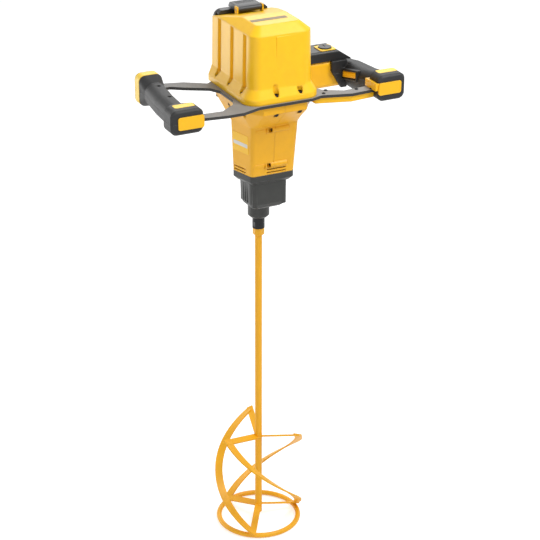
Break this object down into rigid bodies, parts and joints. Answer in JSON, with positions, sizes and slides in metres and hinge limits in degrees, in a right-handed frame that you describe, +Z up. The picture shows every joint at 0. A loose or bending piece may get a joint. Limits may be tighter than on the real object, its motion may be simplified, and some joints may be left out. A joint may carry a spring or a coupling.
{
  "type": "mixing drill",
  "caption": "Two-handled cordless mixing drill with a battery box on a steel frame plate, a motor and gear case below it, and a long helical stirring paddle.",
  "frame": {"origin": "point on the spindle axis at the level of the paddle ring's underside", "axes": "+Z up along the spindle axis, +X to the hand on the trigger side, -Y towards the person who holds it"},
  "size_m": [0.432, 0.207, 1.0005],
  "materials": {
    "yellow_paint": "smooth satin paint",
    "yellow_shell": "moulded, satin",
    "black_grip": "soft-touch rubber over plastic",
    "black_plastic": "moulded, fine texture",
    "grey_case": "cast metal, dark grey paint",
    "plate_steel": "grey painted steel plate",
    "dark_steel": "blackened steel",
    "bright_steel": "ground steel",
    "copper": "enamelled winding",
    "lamination": "stacked electrical steel",
    "rubber_seal": "matte rubber"
  },
  "bodies": {
    "drill_frame": {"battery_box": "yellow_shell", "battery_pack": "black_plastic", "control_module": "black_plastic", "dial_bezel": "yellow_shell", "door_hinge_pin": "bright_steel", "flange_bolts": "dark_steel", "flange_nuts": "dark_steel", "frame_plate": "plate_steel", "gear_case": "grey_case", "gear_case_cover": "grey_case", "gear_case_screws": "dark_steel", "grip_screws": "dark_steel", "housing_screws": "dark_steel", "idler_bearing_lower": "bright_steel", "idler_bearing_upper": "bright_steel", "latch_pin": "bright_steel", "left_front_inlay": "yellow_shell", "left_front_top_inlay": "yellow_shell", "left_grip_lower": "black_grip", "left_grip_upper": "black_grip", "left_rear_inlay": "yellow_shell", "left_rear_top_inlay": "yellow_shell", "motor_housing_left": "yellow_shell", "motor_housing_right": "yellow_shell", "right_channel": "yellow_shell", "right_front_inlay": "yellow_shell", "right_grip_lower": "black_grip", "right_grip_upper": "black_grip", "right_neck": "yellow_shell", "right_neck_cover": "black_plastic", "right_top_inlay": "yellow_shell", "rotor_bearing_lower": "bright_steel", "rotor_bearing_upper": "bright_steel", "spindle_bearing_lower": "bright_steel", "spindle_bearing_upper": "bright_steel", "spindle_seal": "rubber_seal", "stator_coils": "copper", "stator_core": "lamination", "terminal_block": "black_plastic", "trigger_switch": "black_plastic"},
    "spindle_group": {"spindle": "dark_steel", "output_gear": "bright_steel", "paddle_nut": "yellow_paint", "paddle_shaft": "yellow_paint", "paddle_ring": "yellow_paint", "paddle_blade_a": "yellow_paint", "paddle_blade_b": "yellow_paint", "paddle_blade_c": "yellow_paint"},
    "idler_group": {"idler_shaft": "bright_steel", "idler_gear": "bright_steel", "idler_pinion": "bright_steel"},
    "rotor_group": {"rotor_shaft": "bright_steel", "rotor_core": "lamination", "motor_pinion": "bright_steel", "cooling_fan": "black_plastic"},
    "trigger_body": {"trigger": "yellow_shell"},
    "dial_body": {"speed_dial": "black_plastic"},
    "door_body": {"rear_door": "black_plastic", "door_seal": "rubber_seal"},
    "latch_body": {"latch": "black_plastic"}
  },
  "joints": [
    {"name": "spindle_spin", "type": "hinge", "parent": "drill_frame", "child": "spindle_group", "pos_m": [0, 0, 0.66], "axis": [0, 0, 1], "continuous": true},
    {"name": "idler_spin", "type": "hinge", "parent": "drill_frame", "child": "idler_group", "pos_m": [0.01599, -0.0179, 0.69], "axis": [0, 0, 1], "continuous": true},
    {"name": "rotor_spin", "type": "hinge", "parent": "drill_frame", "child": "rotor_group", "pos_m": [0, -0.0185, 0.77], "axis": [0, 0, 1], "continuous": true},
    {"name": "trigger_pull", "type": "slide", "parent": "drill_frame", "child": "trigger_body", "axis": [1, 0, 0], "range_m": [0, 0.006], "stiffness_N_per_m": 600},
    {"name": "dial_turn", "type": "hinge", "parent": "drill_frame", "child": "dial_body", "pos_m": [0.1475, 0.038, 0.902], "axis": [0, 0, 1], "range_deg": [-135, 135]},
    {"name": "door_swing", "type": "hinge", "parent": "drill_frame", "child": "door_body", "pos_m": [0, 0.0741, 0.883], "axis": [-1, 0, 0], "range_deg": [0, 110]},
    {"name": "latch_lift", "type": "hinge", "parent": "drill_frame", "child": "latch_body", "pos_m": [0, 0.036, 0.995], "axis": [1, 0, 0], "range_deg": [0, 70]}
  ],
  "couplings": [
    {"joint": "idler_spin", "follows": "spindle_spin", "ratio": -3},
    {"joint": "rotor_spin", "follows": "spindle_spin", "ratio": 7}
  ]
}
